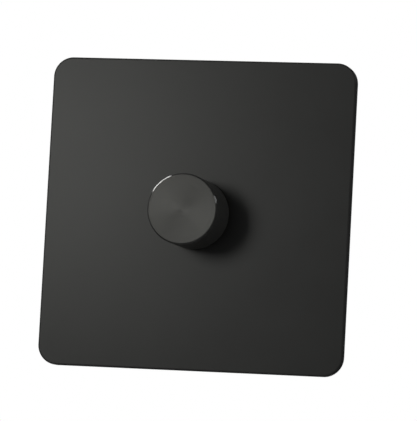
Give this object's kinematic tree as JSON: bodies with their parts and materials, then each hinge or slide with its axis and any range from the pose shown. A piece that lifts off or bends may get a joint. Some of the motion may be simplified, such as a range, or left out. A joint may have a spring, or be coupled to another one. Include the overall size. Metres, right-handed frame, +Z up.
{
  "type": "rotary dimmer switch",
  "caption": "Square matt black metal wall plate with rounded corners and no visible screws, and a round turned knob that turns to dim and pushes to switch; wired module behind.",
  "frame": {"origin": "centre of the wall plane behind the plate, midway between the two box screw slots", "axes": "+Z up, -Y out of the wall into the room, +X to the right as seen from the room"},
  "size_m": [0.086, 0.0433, 0.086],
  "materials": {
    "plate_finish": "matt black sprayed steel with a fine even grain",
    "knob_finish": "matt black turned metal with fine rings on its face",
    "zinc_steel": "zinc plated steel, slightly clouded",
    "sink_aluminium": "plain rolled aluminium",
    "brass": "machined brass, unpolished",
    "case_plastic": "moulded black plastic with a spark texture",
    "inner_plastic": "moulded dark plastic",
    "board_laminate": "brown paper laminate",
    "track_carbon": "printed carbon film",
    "choke_ferrite": "laminated iron core",
    "copper_wire": "enamelled copper wire",
    "capacitor_shell": "moulded block with resin fill",
    "silicone_pad": "grey thermal pad"
  },
  "bodies": {
    "module": {"front_plate": "plate_finish", "mounting_frame": "zinc_steel", "earth_screw": "zinc_steel", "triac_clip": "zinc_steel", "terminal_screws": "zinc_steel", "switch_spring": "zinc_steel", "heat_sink": "sink_aluminium", "earth_terminal": "brass", "spindle_bush": "brass", "bush_nut": "brass", "switch_contacts": "brass", "terminal_cages": "brass", "rear_case": "case_plastic", "switch_housing": "inner_plastic", "track_housing": "inner_plastic", "board_fuse": "inner_plastic", "triac": "inner_plastic", "circuit_board": "board_laminate", "resistance_track": "track_carbon", "choke_core": "choke_ferrite", "choke_winding": "copper_wire", "suppression_capacitor": "capacitor_shell", "timing_capacitor": "capacitor_shell", "resistors": "capacitor_shell", "insulating_pad": "silicone_pad"},
    "rotor": {"track_rotor": "inner_plastic", "wiper": "brass"},
    "knob": {"knob_shell": "knob_finish", "knob_core": "inner_plastic", "knob_spring": "zinc_steel", "spindle": "brass"},
    "plunger": {"switch_plunger": "inner_plastic", "contact_bridge": "brass"}
  },
  "joints": [
    {"name": "knob_turn", "type": "hinge", "parent": "module", "child": "rotor", "pos_m": [0, 0, 0], "axis": [0, 1, 0], "range_deg": [-135, 135]},
    {"name": "knob_push", "type": "slide", "parent": "rotor", "child": "knob", "axis": [0, 1, 0], "range_m": [0, 0.0012], "stiffness_N_per_m": 1200, "springref_m": -0.002},
    {"name": "plunger_slide", "type": "slide", "parent": "module", "child": "plunger", "axis": [0, 1, 0], "range_m": [0, 0.0012], "deforming": ["switch_spring"]}
  ],
  "couplings": [
    {"joint": "plunger_slide", "follows": "knob_push", "ratio": 1}
  ]
}
